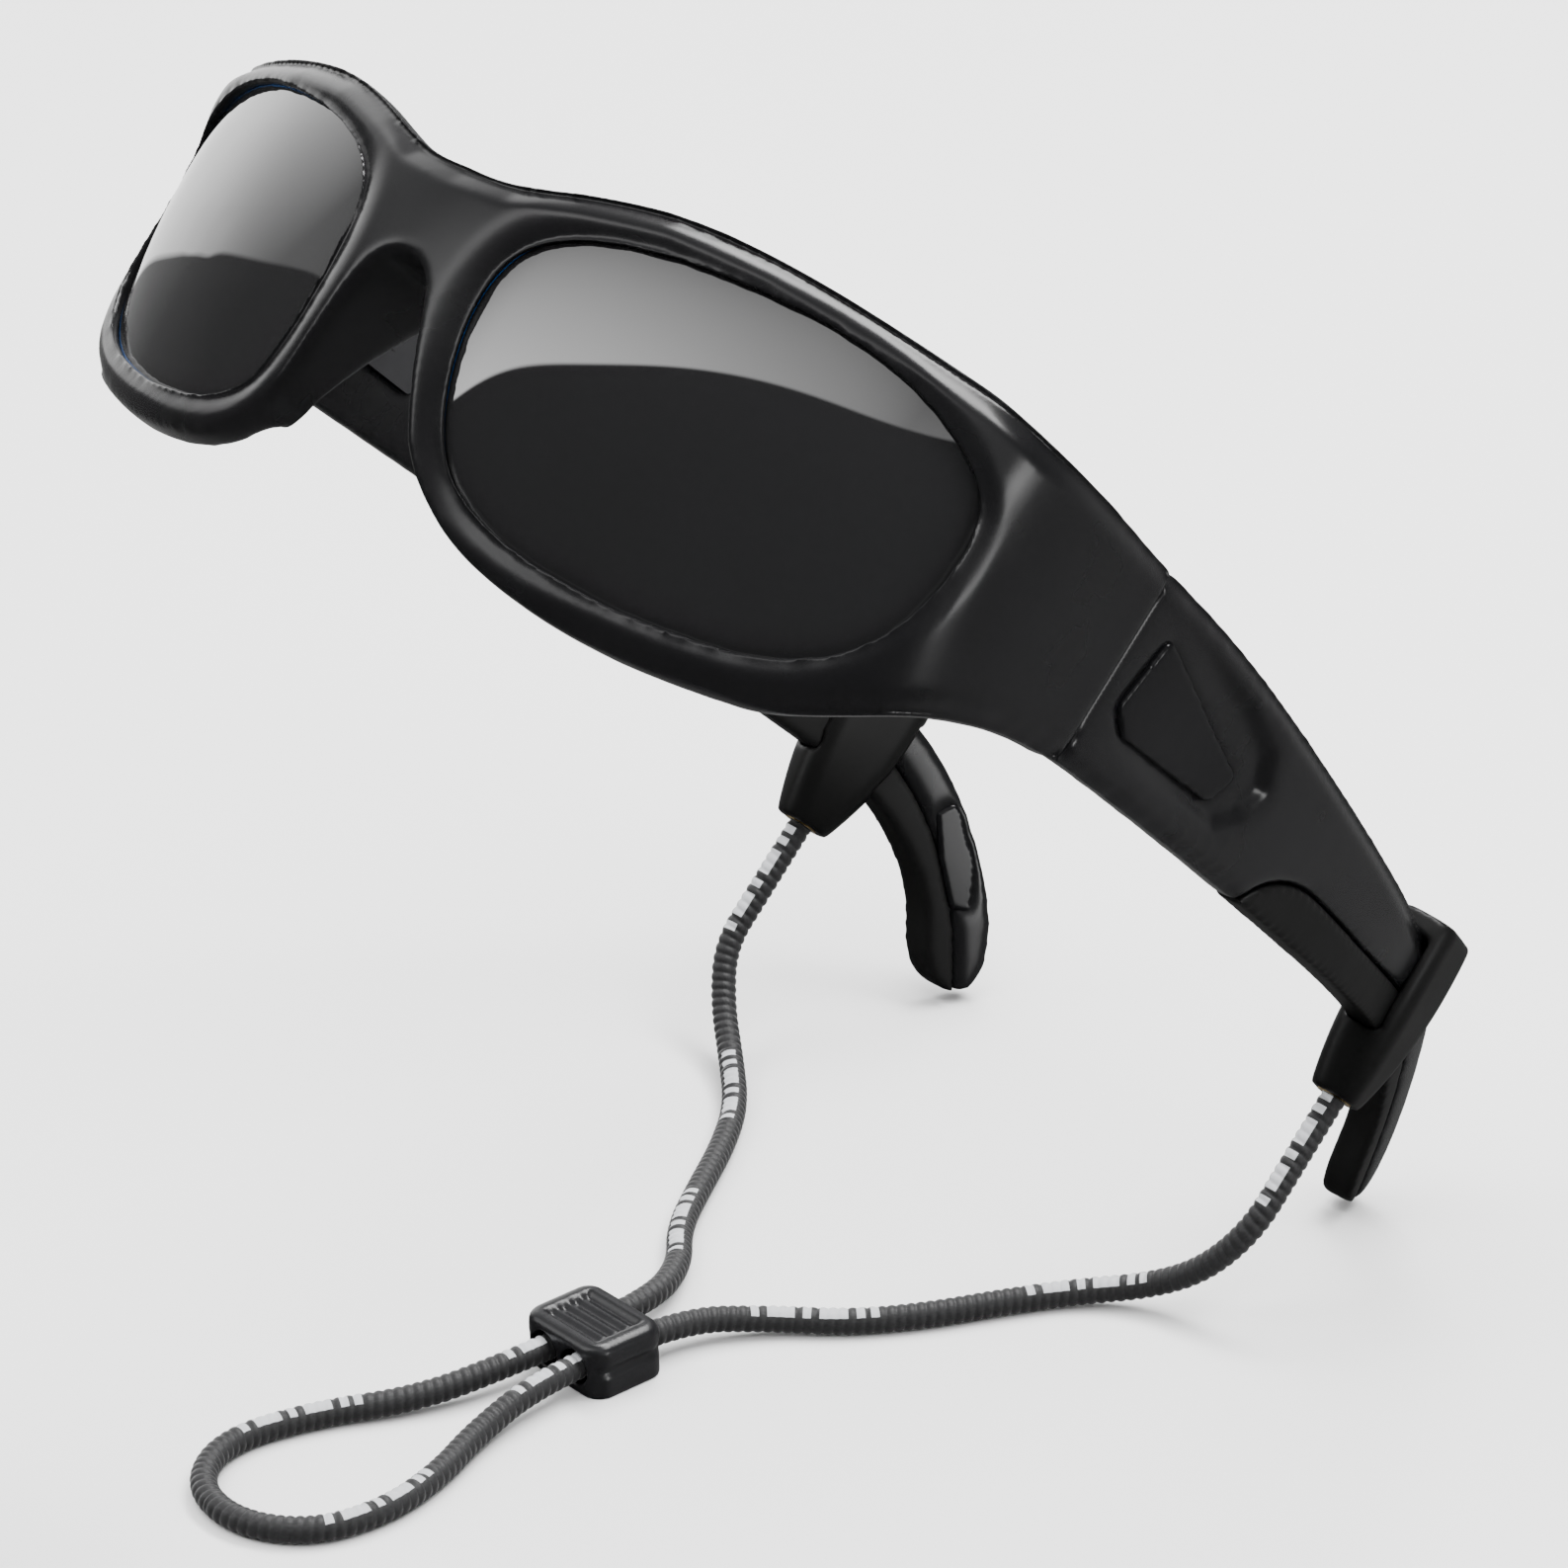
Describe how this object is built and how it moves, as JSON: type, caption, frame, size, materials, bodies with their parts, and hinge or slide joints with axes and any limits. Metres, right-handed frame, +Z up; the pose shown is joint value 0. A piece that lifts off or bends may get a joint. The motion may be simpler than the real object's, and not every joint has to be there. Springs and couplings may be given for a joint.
{
  "type": "wraparound sport sunglasses",
  "caption": "Wraparound sport sunglasses with curved dark lenses, folding temples with soft grips, and a round retention cord with rubber sleeves and a slider.",
  "frame": {"origin": "nose saddle: the middle of the underside of the bridge, where it rests on a nose", "axes": "+X towards the wearer's left, square to the plane of symmetry; the glasses are stored leaned back 45 degrees, so the front faces -Y and up, the temples run to +Y and down, and +Z is up from the level surface the cord lies on"},
  "size_m": [0.1318, 0.1423, 0.1432],
  "materials": {
    "frame_plastic": "satin",
    "lens_tint": "gloss",
    "hinge_metal": "satin",
    "screw_steel": "satin",
    "badge_gloss": "gloss",
    "grip_rubber": "matte",
    "sleeve_rubber": "matte",
    "ferrule_brass": "satin",
    "cord_fabric": "woven",
    "slider_plastic": "satin"
  },
  "bodies": {
    "front": {"front_frame": "frame_plastic", "lens_left": "lens_tint", "lens_right": "lens_tint", "hinge_front_leaf_left": "hinge_metal", "hinge_front_leaf_right": "hinge_metal", "hinge_screw_left": "screw_steel", "hinge_screw_right": "screw_steel", "cord_strand_left": "cord_fabric", "cord_strand_right": "cord_fabric", "cord_loop": "cord_fabric"},
    "temple_left": {"temple_arm_left": "frame_plastic", "hinge_temple_leaf_left": "hinge_metal", "temple_badge_left": "badge_gloss", "temple_grip_left": "grip_rubber", "temple_pad_left": "grip_rubber", "tip_inlay_left": "badge_gloss", "cord_sleeve_left": "sleeve_rubber", "cord_ferrule_left": "ferrule_brass", "cord_lead_left": "cord_fabric"},
    "temple_right": {"temple_arm_right": "frame_plastic", "hinge_temple_leaf_right": "hinge_metal", "temple_badge_right": "badge_gloss", "temple_grip_right": "grip_rubber", "temple_pad_right": "grip_rubber", "tip_inlay_right": "badge_gloss", "cord_sleeve_right": "sleeve_rubber", "cord_ferrule_right": "ferrule_brass", "cord_lead_right": "cord_fabric"},
    "slider": {"cord_slider": "slider_plastic"}
  },
  "joints": [
    {"name": "fold_left", "type": "hinge", "parent": "front", "child": "temple_left", "pos_m": [0.0566, 0.03465, -0.02899], "axis": [0, 0.7071, 0.7071], "range_deg": [0, 72]},
    {"name": "fold_right", "type": "hinge", "parent": "front", "child": "temple_right", "pos_m": [-0.0566, 0.03465, -0.02899], "axis": [0, -0.7071, -0.7071], "range_deg": [0, 84]},
    {"name": "slider_slide", "type": "slide", "parent": "front", "child": "slider", "axis": [0, -1, 0], "range_m": [-0.0025, 0.0025]}
  ]
}
